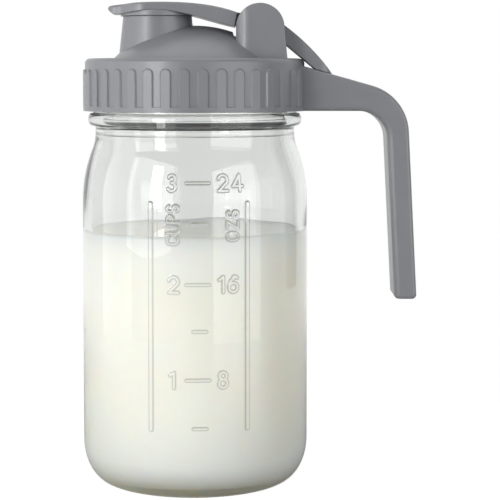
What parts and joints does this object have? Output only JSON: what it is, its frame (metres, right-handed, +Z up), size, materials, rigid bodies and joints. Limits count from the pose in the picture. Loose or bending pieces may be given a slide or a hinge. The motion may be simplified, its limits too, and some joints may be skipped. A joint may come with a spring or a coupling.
{
  "type": "breast milk pitcher",
  "caption": "Glass jar pitcher part-filled with milk, with raised measuring marks and a screw-on plastic pouring lid with a hinged flip cap, a carry loop and a side handle.",
  "frame": {"origin": "on the jar's axis, in the plane that the jar stands on", "axes": "+Z up along the jar's axis, -X towards the spout, +X towards the handle, -Y towards the measuring marks"},
  "size_m": [0.1394, 0.0946, 0.2006],
  "materials": {
    "glass": "clear pressed glass with a faint green tint in the thick base",
    "milk": "opaque cream-white milk with a still surface",
    "lid_plastic": "satin mid-grey moulded polypropylene",
    "cap_plastic": "satin mid-grey moulded polypropylene",
    "loop_plastic": "satin mid-grey moulded polypropylene"
  },
  "bodies": {
    "pitcher": {"jar": "glass", "milk": "milk", "lid": "lid_plastic"},
    "flip_cap": {"flip_cap": "cap_plastic"},
    "carry_loop": {"carry_loop": "loop_plastic"}
  },
  "joints": [
    {"name": "cap_flip", "type": "hinge", "parent": "pitcher", "child": "flip_cap", "pos_m": [0.02725, 0, 0.1901], "axis": [0, 1, 0], "range_deg": [0, 90]},
    {"name": "loop_lift", "type": "hinge", "parent": "pitcher", "child": "carry_loop", "pos_m": [0.02725, 0, 0.1901], "axis": [0, -1, 0], "range_deg": [0, 40]}
  ]
}
